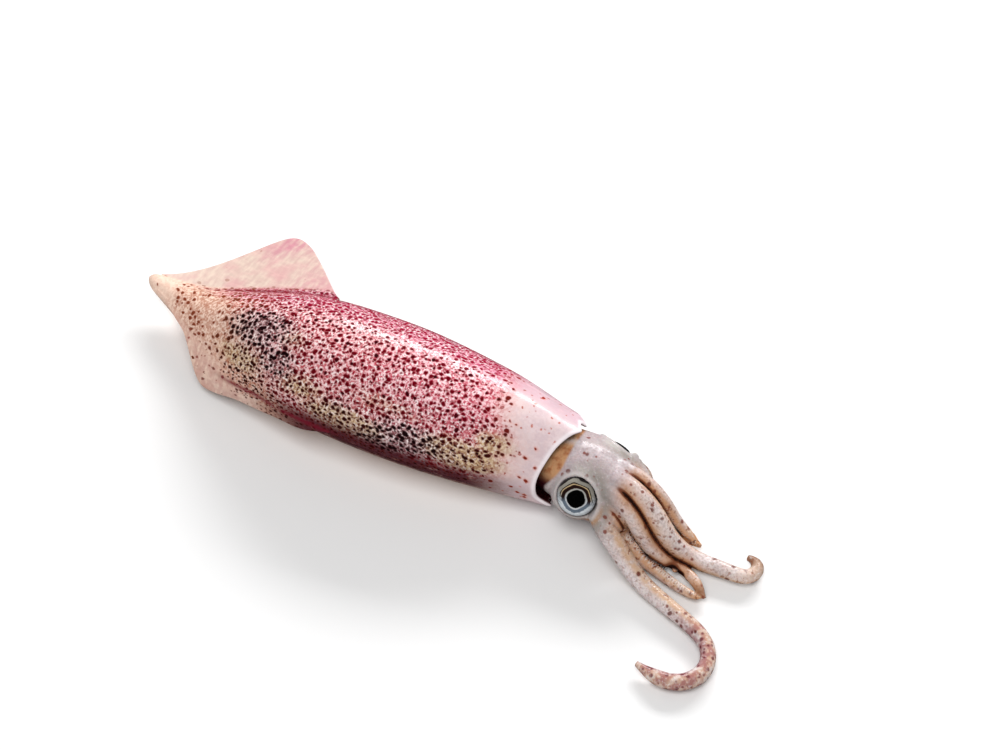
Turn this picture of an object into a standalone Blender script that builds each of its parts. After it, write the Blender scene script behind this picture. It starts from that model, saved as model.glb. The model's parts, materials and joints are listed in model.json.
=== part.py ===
"""Whole raw squid lying on its belly: tail toward -X, head and arms toward +X, back up.

Shapes are worked out in millimetres from the tail tip along X and turned into metres
when a mesh is made. The last step moves the squid so that the middle of its box is over
the origin, with its belly on the ground.
"""
import bpy
import bmesh
import numpy as np
from collections import namedtuple
from math import cos, degrees, pi, radians, sin, sqrt
from mathutils import Matrix, Vector

MM = 0.001
WELD = 0.01                 # points closer than this are one point
SHARPEST_SMOOTH = 50.0      # degrees, facets that meet more sharply keep their edge

# Mantle: the body tube, closed at the tail and open at the head
MANTLE_LENGTH = 150.0
MANTLE_WIDTHS = ((-1, 2.0), (18, 6.9), (35, 12.8), (55, 18.4), (88, 21.2), (122, 19.2), (150, 14.8))
MANTLE_SWAY = ((-1, 4.9), (30, -1.0), (63, -3.2), (102, -2.0), (150, 2.4))
FLATTENING = 0.93           # height over width
TAIL_LIFT = 8.0             # underside of the tail tip over the ground
TAIL_LIFT_END = 56.0
BELLY_FLAT = 0.35           # depth pressed flat where the belly rests
RINGS = 17
RING_POINTS = 16
CAGE_GROWTH = 3 / (2 + cos(2 * pi / RING_POINTS))  # smoothing shrinks a ring by as much
# How far the free rim stands forward, by degrees from its lobe on the back: cut back at the
# sides of the neck, a point on each side of the belly, and a shallow notch for the funnel
RIM_REACH = ((0, 1.2), (22, -1.8), (55, -3.9), (100, -4.7), (138, -0.4), (180, -3.0))
RIM_TURN = 15.0             # the lobe lies this far to the left of the top
RIM_BLEND = 30.0            # the rings follow the rim over this length

# Mantle opening, where the neck goes in
WALL = 2.2
POCKET_DEPTH = 22.0
POCKET_BEYOND = 8.0         # past the rim, so that the front is open all round
POCKET_RINGS = 6

# Fins: thin flaps on the rear flanks. The left one lies spread out. The right one hangs down
# along the flank, and its front part is rooted lower and folds in under the body.
LEFT_FIN_REACH = ((2, -0.6), (5, 1.5), (8, 3.6), (12, 7.4), (16, 12.2), (24, 23.6), (28, 29.0), (31, 31.2),
                  (34, 30.8), (40, 26.4), (49, 16.4), (57, 7.2), (66, -2.4))
RIGHT_FIN_REACH = ((4, -0.6), (8, 0.6), (16, 3.4), (21, 5.2), (24, 8.0), (28, 13.0), (32, 17.8), (36, 17.6),
                   (40, 15.8), (46, 11.8), (54, 8.0), (62, 5.6), (72, 4.6), (80, 1.0), (84, -1.0))
FIN_INSET = 3.0             # how deep the fin starts inside the flank
FIN_INSET_SHARE = 0.6       # and no deeper than this share of the body's half width
FIN_THICKNESS = 1.8
FIN_COLUMNS = 18
FIN_ROWS = 7
FIN_BENDS = 12              # straight steps that a fin's curve is made of
FIN_BEND_REACH = 28.0       # how far out a fin has turned from its root droop to its edge droop
FIN_SETTLE = (28.0, 60.0)   # between these places a fin goes from its rear hang to its front hang
# In degrees. root: height of the root on the flank. droops: how far the fin hangs down from
# level, at its root and where it has turned
Hang = namedtuple("Hang", "root root_droop edge_droop")
Fin = namedtuple("Fin", "side reach rear front")
SPREAD = Hang(32.0, 8.0, 16.0)
FINS = (Fin(1, LEFT_FIN_REACH, SPREAD, SPREAD),
        Fin(-1, RIGHT_FIN_REACH, Hang(38.0, 42.0, 98.0), Hang(-6.0, 80.0, 140.0)))

# Head and neck
HEAD_ROLL = 9.0             # degrees, the back of the head leans to the right side
HEAD_SWAY = ((128, 1.6), (142, 2.2), (152, 2.0), (161, 0.9), (168, -0.6), (175, -2.2))
NECK_GAP = 0.4              # between the end of the neck and the end of the opening
NECK_START = MANTLE_LENGTH - POCKET_DEPTH + NECK_GAP
HEAD_SECTIONS = ((NECK_START, 8.4, 8.2, 12.6), (142, 10.0, 9.4, 12.9), (153, 11.8, 11.0, 13.0),
                 (161, 12.6, 12.0, 13.0), (168, 11.0, 11.2, 13.0), (175, 9.2, 10.0, 12.4))
HEAD_POINTS = 20
HEAD_TRIANGLES = 3900

# Eyes: balls set in sockets, in a swelling at each side of the head. The head leans to its
# right, so the right eye looks up and the left one looks out to the side.
# heading and lift: degrees to the left of straight ahead, and up from level
Eye = namedtuple("Eye", "name centre heading lift")
EYES = (Eye("eye_right", (157.4, -6.4, 14.7), -75.0, 35.0),
        Eye("eye_left", (160.5, 8.0, 13.2), 75.0, 33.0))
EYE_RADIUS = 7.0
EYE_GAP = 0.35
EYE_SEGMENTS = 20
EYE_RINGS = 12
SWELLING_RADIUS = 9.3
SWELLING_BACK = 3.0         # middle of the swelling behind the middle of the ball

# Funnel under the neck
FUNNEL_START = (146.0, 0.0, 5.4)
FUNNEL_END = (161.0, 0.0, 3.6)
FUNNEL_RADIUS = 3.2
FUNNEL_TAPER = 0.4          # share of the radius lost at the end
FUNNEL_STEPS = 4

# Arms and tentacles. crown: degrees from straight up to the right side, where it leaves
# the head. heading and turns: degrees to the left as seen from above; each turn is
# (start, end, degrees) along the length. drop: where it sinks from the head to rest.
CROWN_X = 166.0
CROWN_WIDTH = 10.4
CROWN_HEIGHT = 9.2
CROWN_Z = 13.2
ARM_STEP = 1.5
LEAST_RUN = 0.22            # of each step an arm goes this share forward, however steeply it sinks
TIP_START = 0.9             # share of the length where the rounded tip begins
TIP_LOSS = 0.75
CLUB_SWELL = (0.62, 0.8, 0.5)    # a tentacle thickens into its club: from, to, by
CLUB_FADE = (0.88, 1.0, 0.3)    # and thins again at its end
Arm = namedtuple("Arm", "name crown length root tip heading turns drop rest")
ARMS = (
    Arm("arm_1_left", -28, 34, 2.5, 1.4, -10, ((2, 14, 5), (27, 37, -15)), (6, 37), 5.0),
    Arm("arm_1_right", 3, 63, 3.9, 2.0, -6, ((2, 12, -4), (20, 34, 15), (50, 67, 210)), (4, 40), 3.0),
    Arm("arm_2_right", 20, 48, 3.4, 1.4, -17, ((12, 24, 16), (34, 46, -40)), (2, 34), 2.6),
    Arm("arm_3_right", 114, 38, 2.8, 1.3, -8, ((6, 18, -8), (24, 40, 13)), (0, 18), 2.6),
    Arm("arm_4_right", 146, 29, 2.7, 1.3, -10, ((4, 20, -4),), (0, 10), 2.6),
    Arm("arm_4_left", 182, 28, 2.7, 1.3, -10, ((12, 28, -6),), (0, 10), 2.6),
    Arm("arm_3_left", 222, 31, 2.8, 1.3, -12, ((4, 16, -6), (20, 31, 10)), (0, 14), 2.6),
    Arm("arm_2_left", -66, 31, 2.5, 1.2, -14, ((2, 12, -16), (22, 31, 8)), (0, 24), 5.0),
    Arm("tentacle_right", 72, 84, 3.3, 1.8, -51, ((0, 10, 31), (20, 38, 3), (43, 84, -177)), (0, 28), 3.0),
    Arm("tentacle_left", -100, 36, 2.4, 1.5, 10, ((4, 14, -38), (26, 36, 14)), (0, 16), 2.6),
)
ARM_SKIN = 0.9              # grain of the skin that joins arms and head

GROUND_SIZE = (500.0, 300.0, 20.0)
GROUND_MIDDLE = 100.0

SKIN = {
    "mantle": ((0.62, 0.30, 0.30, 1.0), 0.32),
    "head": ((0.60, 0.45, 0.41, 1.0), 0.35),
    "eye_right": ((0.10, 0.11, 0.10, 1.0), 0.12),
    "eye_left": ((0.10, 0.11, 0.10, 1.0), 0.12),
}


def clear_scene():
    for thing in list(bpy.data.objects):
        bpy.data.objects.remove(thing, do_unlink=True)


def new_collection(name):
    collection = bpy.data.collections.new(name)
    bpy.context.scene.collection.children.link(collection)
    return collection


def along(stations, x):
    """Height at x of a smooth curve through stations of (x, height)."""
    places, heights = np.array(stations, dtype=float).T
    slopes = np.gradient(heights, places)
    i = int(np.clip(np.searchsorted(places, x) - 1, 0, len(places) - 2))
    span = places[i + 1] - places[i]
    t = min(max((x - places[i]) / span, 0.0), 1.0)
    rise = (3 - 2 * t) * t * t
    lean = t * (1 - t) * (1 - t) * slopes[i] - t * t * (1 - t) * slopes[i + 1]
    return float(heights[i] * (1 - rise) + heights[i + 1] * rise + span * lean)


def ease(start, end, x):
    """0 before start, 1 after end, smooth between."""
    t = min(max((x - start) / (end - start), 0.0), 1.0)
    return (3 - 2 * t) * t * t


def new_object(name, mesh, collection):
    piece = bpy.data.objects.new(name, mesh)
    collection.objects.link(piece)
    return piece


def loft(name, rings, collection):
    """Closed body through rings that have the same number of points, in millimetres."""
    bm = bmesh.new()
    rows = [[bm.verts.new(Vector(point) * MM) for point in ring] for ring in rings]
    count = len(rows[0])
    for row, after in zip(rows, rows[1:]):
        for i in range(count):
            j = (i + 1) % count
            bm.faces.new((row[i], row[j], after[j], after[i]))
    bm.faces.new(list(reversed(rows[0])))
    bm.faces.new(rows[-1])
    bmesh.ops.recalc_face_normals(bm, faces=bm.faces)
    mesh = bpy.data.meshes.new(name)
    bm.to_mesh(mesh)
    bm.free()
    return new_object(name, mesh, collection)


def subdivide(piece, levels):
    smooth = piece.modifiers.new("Smooth", "SUBSURF")
    smooth.levels = levels
    smooth.render_levels = levels


def boolean(piece, operation, tool):
    cut = piece.modifiers.new(tool.name, "BOOLEAN")
    cut.operation = operation
    cut.solver = "EXACT"
    cut.object = tool


def mantle_centre(x):
    width = along(MANTLE_WIDTHS, x)
    lift = TAIL_LIFT * max(1 - x / TAIL_LIFT_END, 0.0) ** 2
    return along(MANTLE_SWAY, x), lift + width * FLATTENING - BELLY_FLAT


def rim_reach(angle):
    """How far the rim stands forward at an angle up from the left side."""
    from_lobe = abs((degrees(angle) - 90 + RIM_TURN + 180) % 360 - 180)
    return along(RIM_REACH, from_lobe)


def mantle_ring(x, inset=0.0, rim=0.0):
    width = (along(MANTLE_WIDTHS, x) - inset) * CAGE_GROWTH
    y, z = mantle_centre(x)
    ring = []
    for i in range(RING_POINTS):
        angle = 2 * pi * i / RING_POINTS
        forward = rim * rim_reach(angle)
        ring.append((x + forward, y + width * cos(angle), z + width * FLATTENING * sin(angle)))
    return ring


def make_mantle_tube(collection):
    places = np.linspace(MANTLE_WIDTHS[0][0], MANTLE_LENGTH, RINGS)
    rings = [mantle_ring(x, rim=ease(MANTLE_LENGTH - RIM_BLEND, MANTLE_LENGTH, x)) for x in places]
    tube = loft("mantle", rings, collection)
    first_of_rim = (RINGS - 1) * RING_POINTS
    crease = tube.data.attributes.new("crease_edge", "FLOAT", "EDGE")
    for edge, sharp in zip(tube.data.edges, crease.data):
        sharp.value = 1.0 if min(edge.vertices) >= first_of_rim else 0.0
    subdivide(tube, 1)
    return tube


def make_pocket(cutters):
    """The hollow that the neck goes into, open at the front."""
    start = MANTLE_LENGTH - POCKET_DEPTH
    places = np.linspace(start, MANTLE_LENGTH + POCKET_BEYOND, POCKET_RINGS)
    return loft("pocket", [mantle_ring(x, inset=WALL) for x in places], cutters)


def fin_hang(fin, x):
    """Root angle, root droop and edge droop of a fin at x, in radians."""
    share = ease(*FIN_SETTLE, x)
    return [radians(rear + (front - rear) * share) for rear, front in zip(fin.rear, fin.front)]


def fin_point(fin, x, reach):
    """Point on the middle of the fin, at an arc length from its root on the flank."""
    width = along(MANTLE_WIDTHS, x)
    y, z = mantle_centre(x)
    root, root_droop, edge_droop = fin_hang(fin, x)
    y += fin.side * width * cos(root)
    z += width * FLATTENING * sin(root)
    for i in range(FIN_BENDS):
        out = reach * (i + 0.5) / FIN_BENDS
        droop = root_droop + (edge_droop - root_droop) * max(out, 0.0) / FIN_BEND_REACH
        y += fin.side * cos(droop) * reach / FIN_BENDS
        z -= sin(droop) * reach / FIN_BENDS
    return x, y, z


def make_fin(fin, cutters):
    """A sheet from inside the flank out to the fin's edge, given its thickness."""
    name = "fin_left" if fin.side > 0 else "fin_right"
    start, end = fin.reach[0][0], fin.reach[-1][0]
    bm = bmesh.new()
    rows = []
    for column in range(FIN_COLUMNS):
        x = start + (end - start) * column / (FIN_COLUMNS - 1)
        reach = along(fin.reach, x)
        inset = min(FIN_INSET, along(MANTLE_WIDTHS, x) * FIN_INSET_SHARE)
        outs = [-inset + (reach + inset) * row / (FIN_ROWS - 1) for row in range(FIN_ROWS)]
        rows.append([bm.verts.new(Vector(fin_point(fin, x, out)) * MM) for out in outs])
    for row, after in zip(rows, rows[1:]):
        for i in range(FIN_ROWS - 1):
            corners = (row[i], after[i], after[i + 1], row[i + 1])
            bm.faces.new(corners if fin.side > 0 else tuple(reversed(corners)))
    mesh = bpy.data.meshes.new(name)
    bm.to_mesh(mesh)
    bm.free()
    sheet = new_object(name, mesh, cutters)
    thick = sheet.modifiers.new("Thickness", "SOLIDIFY")
    thick.thickness = FIN_THICKNESS * MM
    thick.offset = 0.0
    return sheet


def make_ground(cutters):
    """Takes away what lies below the ground, which leaves the belly's flat."""
    bpy.ops.mesh.primitive_cube_add(size=1.0)
    ground = bpy.context.object
    ground.name = "ground"
    ground.scale = Vector(GROUND_SIZE) * MM
    ground.location = Vector((GROUND_MIDDLE, 0.0, -GROUND_SIZE[2] / 2)) * MM
    bpy.ops.object.transform_apply(location=True, rotation=False, scale=True)
    move_to(ground, cutters)
    return ground


def move_to(piece, collection):
    for holder in list(piece.users_collection):
        holder.objects.unlink(piece)
    collection.objects.link(piece)


def make_head_core(cutters):
    lean = radians(HEAD_ROLL)
    up = Vector((0.0, -sin(lean), cos(lean)))
    right = Vector((0.0, -cos(lean), -sin(lean)))
    rings = []
    for x, width, height, z in HEAD_SECTIONS:
        ring = []
        for i in range(HEAD_POINTS):
            angle = 360.0 * i / HEAD_POINTS
            across = width * sin(radians(angle))
            upright = height * cos(radians(angle))
            offset = right * across + up * upright
            ring.append((x, along(HEAD_SWAY, x) + offset.y, z + offset.z))
        rings.append(ring)
    core = loft("head_core", rings, cutters)
    subdivide(core, 2)
    return core


def arm_path(arm):
    """Points along an arm: it leaves the crown of the head, turns, and sinks to where it rests."""
    turn = radians(arm.crown + HEAD_ROLL)
    x, y = CROWN_X, -CROWN_WIDTH * sin(turn)
    root_z = CROWN_Z + CROWN_HEIGHT * cos(turn)
    count = round(arm.length / ARM_STEP)
    step = arm.length / count
    path = []
    for i in range(count + 1):
        s = i * step
        z = root_z + (arm.rest - root_z) * ease(*arm.drop, s)
        if path:
            fall = z - path[-1][2]
            run = sqrt(max(step * step - fall * fall, (LEAST_RUN * step) ** 2))
            heading = arm.heading + sum(turn * ease(start, end, s) for start, end, turn in arm.turns)
            x += run * cos(radians(heading))
            y += run * sin(radians(heading))
        path.append((x, y, z))
    return path


def arm_radius(arm, part):
    """Radius at a part of the length, from 0 at the root to 1 at the rounded tip."""
    radius = arm.root + (arm.tip - arm.root) * part
    if arm.name.startswith("tentacle"):
        start, end, gain = CLUB_SWELL
        radius += gain * ease(start, end, part)
        start, end, loss = CLUB_FADE
        radius -= loss * ease(start, end, part)
    return radius * sqrt(1 - TIP_LOSS * ease(TIP_START, 1.0, part))


def tube_mesh(name, path, radii):
    """A tapered tube with closed, welded ends along a path, as a mesh."""
    curve = bpy.data.curves.new(name, "CURVE")
    curve.dimensions = "3D"
    curve.bevel_depth = MM
    curve.bevel_resolution = 2
    curve.use_fill_caps = True
    spline = curve.splines.new("POLY")
    spline.points.add(len(path) - 1)
    for point, place, radius in zip(spline.points, path, radii):
        point.co = (*(Vector(place) * MM), 1.0)
        point.radius = radius
    holder = new_object(name, curve, bpy.context.scene.collection)
    graph = bpy.context.evaluated_depsgraph_get()
    mesh = bpy.data.meshes.new_from_object(holder.evaluated_get(graph))
    bpy.data.objects.remove(holder)
    bpy.data.curves.remove(curve)
    bm = bmesh.new()
    bm.from_mesh(mesh)
    bmesh.ops.remove_doubles(bm, verts=bm.verts, dist=WELD * MM)
    bmesh.ops.recalc_face_normals(bm, faces=bm.faces)
    bm.to_mesh(mesh)
    bm.free()
    return mesh


def add_tube(bm, name, path, radii):
    mesh = tube_mesh(name, path, radii)
    bm.from_mesh(mesh)
    bpy.data.meshes.remove(mesh)


def eye_facing(eye):
    """Unit direction that an eye looks in."""
    heading, lift = radians(eye.heading), radians(eye.lift)
    return Vector((cos(heading) * cos(lift), sin(heading) * cos(lift), sin(lift)))


def make_head(collection, cutters):
    """Head, neck, funnel, arms and the swellings round the eyes, joined under one skin."""
    core = make_head_core(cutters)
    graph = bpy.context.evaluated_depsgraph_get()
    bm = bmesh.new()
    bm.from_mesh(bpy.data.meshes.new_from_object(core.evaluated_get(graph)))
    bpy.data.objects.remove(core)
    for arm in ARMS:
        path = arm_path(arm)
        last = len(path) - 1
        add_tube(bm, arm.name, path, [arm_radius(arm, i / last) for i in range(last + 1)])
    parts = [i / FUNNEL_STEPS for i in range(FUNNEL_STEPS + 1)]
    funnel = [Vector(FUNNEL_START).lerp(Vector(FUNNEL_END), part) for part in parts]
    add_tube(bm, "funnel", funnel, [FUNNEL_RADIUS * (1 - FUNNEL_TAPER * part) for part in parts])
    for eye in EYES:
        middle = Vector(eye.centre) - eye_facing(eye) * SWELLING_BACK
        bmesh.ops.create_uvsphere(bm, u_segments=EYE_SEGMENTS, v_segments=EYE_RINGS,
                                  radius=SWELLING_RADIUS * MM, matrix=Matrix.Translation(middle * MM))
    mesh = bpy.data.meshes.new("head")
    bm.to_mesh(mesh)
    bm.free()
    head = new_object("head", mesh, collection)
    skin = head.modifiers.new("Skin", "REMESH")
    skin.mode = "VOXEL"
    skin.voxel_size = ARM_SKIN * MM
    return head


def make_ball(name, centre, radius, collection):
    bpy.ops.mesh.primitive_uv_sphere_add(
        segments=EYE_SEGMENTS, ring_count=EYE_RINGS, radius=radius * MM)
    ball = bpy.context.object
    ball.name = name
    ball.data.name = name
    ball.location = centre * MM
    bpy.ops.object.transform_apply(location=True, rotation=False, scale=False)
    move_to(ball, collection)
    return ball


def freeze(piece):
    """Put the piece's modifiers into its mesh."""
    graph = bpy.context.evaluated_depsgraph_get()
    mesh = bpy.data.meshes.new_from_object(piece.evaluated_get(graph))
    mesh.name = piece.name
    piece.modifiers.clear()
    piece.data = mesh


def thin_out(piece, triangles):
    """Fewer, larger facets, down to a number of triangles."""
    freeze(piece)
    now = sum(len(face.vertices) - 2 for face in piece.data.polygons)
    fewer = piece.modifiers.new("Fewer", "DECIMATE")
    fewer.ratio = triangles / now
    fewer.use_collapse_triangulate = True
    freeze(piece)


def paint(piece):
    colour, roughness = SKIN[piece.name]
    material = bpy.data.materials.new(piece.name)
    material.use_nodes = True
    shader = material.node_tree.nodes["Principled BSDF"]
    shader.inputs["Base Color"].default_value = colour
    shader.inputs["Roughness"].default_value = roughness
    shader.inputs["Metallic"].default_value = 0.0
    piece.data.materials.clear()
    piece.data.materials.append(material)


def centre_over_origin(pieces):
    corners = [vertex.co for piece in pieces for vertex in piece.data.vertices]
    low = Vector([min(corner[axis] for corner in corners) for axis in range(3)])
    high = Vector([max(corner[axis] for corner in corners) for axis in range(3)])
    shift = Vector((-(low.x + high.x) / 2, -(low.y + high.y) / 2, -low.z))
    for piece in pieces:
        for vertex in piece.data.vertices:
            vertex.co += shift


def build():
    clear_scene()
    squid = new_collection("whole_raw_squid")
    cutters = new_collection("cutters")

    ground = make_ground(cutters)
    mantle = make_mantle_tube(squid)
    for fin in FINS:
        boolean(mantle, "UNION", make_fin(fin, cutters))
    boolean(mantle, "DIFFERENCE", make_pocket(cutters))
    boolean(mantle, "DIFFERENCE", ground)

    head = make_head(squid, cutters)
    thin_out(head, HEAD_TRIANGLES)
    eyes = []
    for eye in EYES:
        centre = Vector(eye.centre)
        eyes.append(make_ball(eye.name, centre, EYE_RADIUS, squid))
        boolean(head, "DIFFERENCE", make_ball(eye.name + "_socket", centre, EYE_RADIUS + EYE_GAP, cutters))
    boolean(head, "DIFFERENCE", ground)

    pieces = [mantle, head] + eyes
    freeze(mantle)
    freeze(head)
    centre_over_origin(pieces)
    for piece in pieces:
        piece.data.shade_smooth()
        piece.data.set_sharp_from_angle(angle=radians(SHARPEST_SMOOTH))
        paint(piece)
    for cutter in cutters.objects:
        cutter.hide_render = True
        cutter.display_type = "WIRE"


build()
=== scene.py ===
import json
from collections import namedtuple
from math import atan2, cos, degrees, pi, radians, sin, sqrt

import bmesh
import bpy
import numpy as np
from mathutils import Matrix, Vector

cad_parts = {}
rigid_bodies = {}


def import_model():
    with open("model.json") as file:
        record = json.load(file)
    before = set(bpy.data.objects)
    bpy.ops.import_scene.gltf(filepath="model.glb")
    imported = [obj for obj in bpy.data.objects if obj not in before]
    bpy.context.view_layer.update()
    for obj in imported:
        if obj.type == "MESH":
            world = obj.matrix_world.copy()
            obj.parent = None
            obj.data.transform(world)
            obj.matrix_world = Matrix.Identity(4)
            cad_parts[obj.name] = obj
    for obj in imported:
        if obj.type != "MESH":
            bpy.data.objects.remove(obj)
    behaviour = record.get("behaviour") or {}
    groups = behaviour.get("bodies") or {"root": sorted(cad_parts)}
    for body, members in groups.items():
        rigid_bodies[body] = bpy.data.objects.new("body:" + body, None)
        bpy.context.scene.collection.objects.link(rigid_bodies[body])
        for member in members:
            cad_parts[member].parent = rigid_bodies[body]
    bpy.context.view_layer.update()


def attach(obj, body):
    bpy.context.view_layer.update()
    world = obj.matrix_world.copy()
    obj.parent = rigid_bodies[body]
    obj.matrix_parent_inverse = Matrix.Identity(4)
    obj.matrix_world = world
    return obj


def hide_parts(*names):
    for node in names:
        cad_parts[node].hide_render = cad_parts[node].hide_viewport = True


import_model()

# Camera: looks down on the squid's back from its right side and a little ahead of it,
# so that the tail points to the upper left and the arms to the lower right.
MM = 0.001
bpy.ops.object.camera_add()
camera = bpy.context.object
camera.data.lens = 100.0
camera.data.sensor_width = 36.0
camera.data.clip_start = 0.01
camera.data.clip_end = 10.0
azimuth, elevation, distance = radians(28.15), radians(54.0), 0.855
target = Vector((0.0070, 0.0276, 0.010))
toward_camera = Vector((sin(azimuth) * cos(elevation), -cos(azimuth) * cos(elevation), sin(elevation)))
camera.location = target + toward_camera * distance
camera.rotation_euler = (-toward_camera).to_track_quat("-Z", "Y").to_euler()
bpy.context.scene.camera = camera


# Mantle: the squid's body, a muscular tube that is closed at the tail and open at the head.
# It lies on its belly, a little flattened, with a bend to the right and the tail raised.
# Its sizes are in millimetres from the tail's tip on the ground, along the body.
TAIL = Vector((-107.82, 4.23, 0.0))
LENGTH = 150.0
HALF_WIDTHS = ((-1, 2.0), (18, 6.9), (35, 12.8), (55, 18.4), (88, 21.2), (122, 19.2), (150, 14.8))
SWAY = ((-1, 4.9), (30, -1.0), (63, -3.2), (102, -2.0), (150, 2.4))
FLATTENING = 0.93
TAIL_LIFT, TAIL_LIFT_END = 8.0, 56.0
BELLY_FLAT = 0.3
TAIL_TIP, TAIL_ROUNDING = -0.9, 3.4
AROUND = 40
RING_STEP = 2.0
RIM_WALL = 1.5
RIM_LIP = ((0.5, 0.3), (0.3, 0.8))      # how far past the end, and at what share of the wall
THROAT_DEPTH, THROAT_RINGS = 20.0, 9
TIP_FLOOR = 0.003           # keeps the first ring at the tip from closing altogether


def along(stations, x):
    """Height at x of a smooth curve through stations of (x, height)."""
    places, heights = np.array(stations, dtype=float).T
    slopes = np.gradient(heights, places)
    i = np.clip(np.searchsorted(places, x) - 1, 0, len(places) - 2)
    span = places[i + 1] - places[i]
    t = np.clip((x - places[i]) / span, 0, 1)
    rise = (3 - 2 * t) * t * t
    lean = t * (1 - t) * (1 - t) * slopes[i] - t * t * (1 - t) * slopes[i + 1]
    return heights[i] * (1 - rise) + heights[i + 1] * rise + span * lean


def ease(start, end, x):
    """0 before start, 1 after end, smooth between."""
    t = np.clip((x - start) / (end - start), 0, 1)
    return (3 - 2 * t) * t * t


def half_width(x):
    """Half of the body's width, which closes in a round tip."""
    before_tip = np.clip(1 - (x - TAIL_TIP) / TAIL_ROUNDING, 0, 1)
    return along(HALF_WIDTHS, x) * np.sqrt(np.maximum(1 - before_tip ** 2, TIP_FLOOR))


def middle(x):
    """The y and z of the body's middle at x."""
    lift = TAIL_LIFT * np.maximum(1 - x / TAIL_LIFT_END, 0) ** 2
    return along(SWAY, x), lift + along(HALF_WIDTHS, x) * FLATTENING - BELLY_FLAT


def at(x, y, z):
    """A point given in millimetres from the tail, in the frame's metres."""
    return (Vector((x, y, z)) + TAIL) * MM


def deselect():
    bpy.ops.object.select_all(action="DESELECT")


def open_for_editing(name):
    """Names the shape that was just added, fixes its place and opens its mesh."""
    piece = bpy.context.object
    piece.name = name
    piece.data.name = name
    bpy.ops.object.transform_apply(location=True, rotation=True, scale=True)
    bpy.ops.object.mode_set(mode="EDIT")
    return piece


def select_none(kind):
    """Goes on with points, edges or faces, none of them selected yet."""
    bpy.ops.mesh.select_mode(type=kind)
    bpy.ops.mesh.select_all(action="DESELECT")


def start_tube(name, around, radius, place, turned=(0, radians(90), 0)):
    """Adds a disc, which faces along the body unless it is turned, and selects its outer edges."""
    bpy.ops.mesh.primitive_circle_add(
        vertices=around, radius=radius * MM, fill_type="TRIFAN", location=place, rotation=turned)
    tube = open_for_editing(name)
    select_none("EDGE")
    mesh = bmesh.from_edit_mesh(tube.data)
    for edge in mesh.edges:
        edge.select_set(edge.is_boundary)
    bmesh.update_edit_mesh(tube.data)
    return tube


def next_ring(here, there, growth):
    """Extrudes the selected ring to its next place, and grows it there by a share on each axis."""
    bpy.ops.mesh.extrude_region_move(TRANSFORM_OT_translate={"value": there - here})
    bpy.ops.transform.resize(value=growth, center_override=there)


def close_end():
    """Draws the selected ring together into a point."""
    bpy.ops.mesh.extrude_region_move()
    bpy.ops.mesh.merge(type="CENTER")


def close_mesh():
    """Turns every face outwards and ends the editing."""
    bpy.ops.mesh.select_all(action="SELECT")
    bpy.ops.mesh.normals_make_consistent(inside=False)
    bpy.ops.object.mode_set(mode="OBJECT")


def apply_modifier(piece, kind, **settings):
    """Adds a modifier to the piece and applies it."""
    deselect()
    piece.select_set(True)
    bpy.context.view_layer.objects.active = piece
    modifier = piece.modifiers.new(kind.title(), kind)
    for name, value in settings.items():
        setattr(modifier, name, value)
    bpy.ops.object.modifier_apply(modifier=modifier.name)


start = at(TAIL_TIP, *middle(TAIL_TIP))
mantle = start_tube("mantle_skin", AROUND, half_width(TAIL_TIP), start)
bpy.ops.transform.resize(value=(1, 1, FLATTENING), center_override=start)

tip = [TAIL_TIP + TAIL_ROUNDING * (1 - cos(radians(turn))) for turn in (12, 26, 42, 58, 74, 90)]
outside = tip + list(np.linspace(tip[-1], LENGTH, round(LENGTH / RING_STEP)))[1:]
throat = np.linspace(LENGTH - 1.0, LENGTH - THROAT_DEPTH, THROAT_RINGS)
rings = [(x, half_width(x)) for x in outside]
rings += [(LENGTH + past, half_width(LENGTH) - share * RIM_WALL) for past, share in RIM_LIP]
rings += [(x, half_width(x) - RIM_WALL) for x in throat]
before = (TAIL_TIP, half_width(TAIL_TIP))
for ring in rings:
    here, there = at(before[0], *middle(before[0])), at(ring[0], *middle(ring[0]))
    growth = ring[1] / before[1]
    next_ring(here, there, (1, growth, growth))
    before = ring
close_end()


# Fins: two thin muscular flaps along the rear of the mantle, grown out of its flanks. The left
# one lies spread out. The right one hangs down along the flank, and its front part is rooted
# lower and folds in under the body.
# how far each fin reaches out from the flank, as (place along, reach)
LEFT_FIN_REACH = ((2, -0.6), (5, 1.5), (8, 3.6), (12, 7.4), (16, 12.2), (24, 23.6), (28, 29.0), (31, 31.2),
                  (34, 30.8), (40, 26.4), (49, 16.4), (57, 7.2), (66, -2.4))
RIGHT_FIN_REACH = ((4, -0.6), (8, 0.6), (16, 3.4), (21, 5.2), (24, 8.0), (28, 13.0), (32, 17.8), (36, 17.6),
                   (40, 15.8), (46, 11.8), (54, 8.0), (62, 5.6), (72, 4.6), (80, 1.0), (84, -1.0))
FIN_ROOT, FIN_THICKNESS, FIN_EDGE = 3.0, 1.7, 0.5
FIN_ROWS = 10
FIN_BENDS = 12
FIN_BEND_REACH = 28.0
FIN_SETTLE = (28.0, 60.0)
FIN_LEAST_REACH = 0.3
FIN_ROW_CROWDING = 1.2
# root: degrees up the flank. droop: degrees that the fin hangs down, at its root and further out.
Hang = namedtuple("Hang", "root root_droop edge_droop")
Fin = namedtuple("Fin", "side reach start end rear front")
SPREAD = Hang(32.0, 8.0, 16.0)
FINS = (Fin(1, LEFT_FIN_REACH, 2.4, 65.0, SPREAD, SPREAD),
        Fin(-1, RIGHT_FIN_REACH, 5.0, 83.0, Hang(38.0, 42.0, 98.0), Hang(-6.0, 80.0, 140.0)))


def fin_hang(fin, x):
    """Degrees of a fin's root, root droop and edge droop at x, from its rear part to its front."""
    share = ease(*FIN_SETTLE, x)
    return [rear + (front - rear) * share for rear, front in zip(fin.rear, fin.front)]


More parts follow.
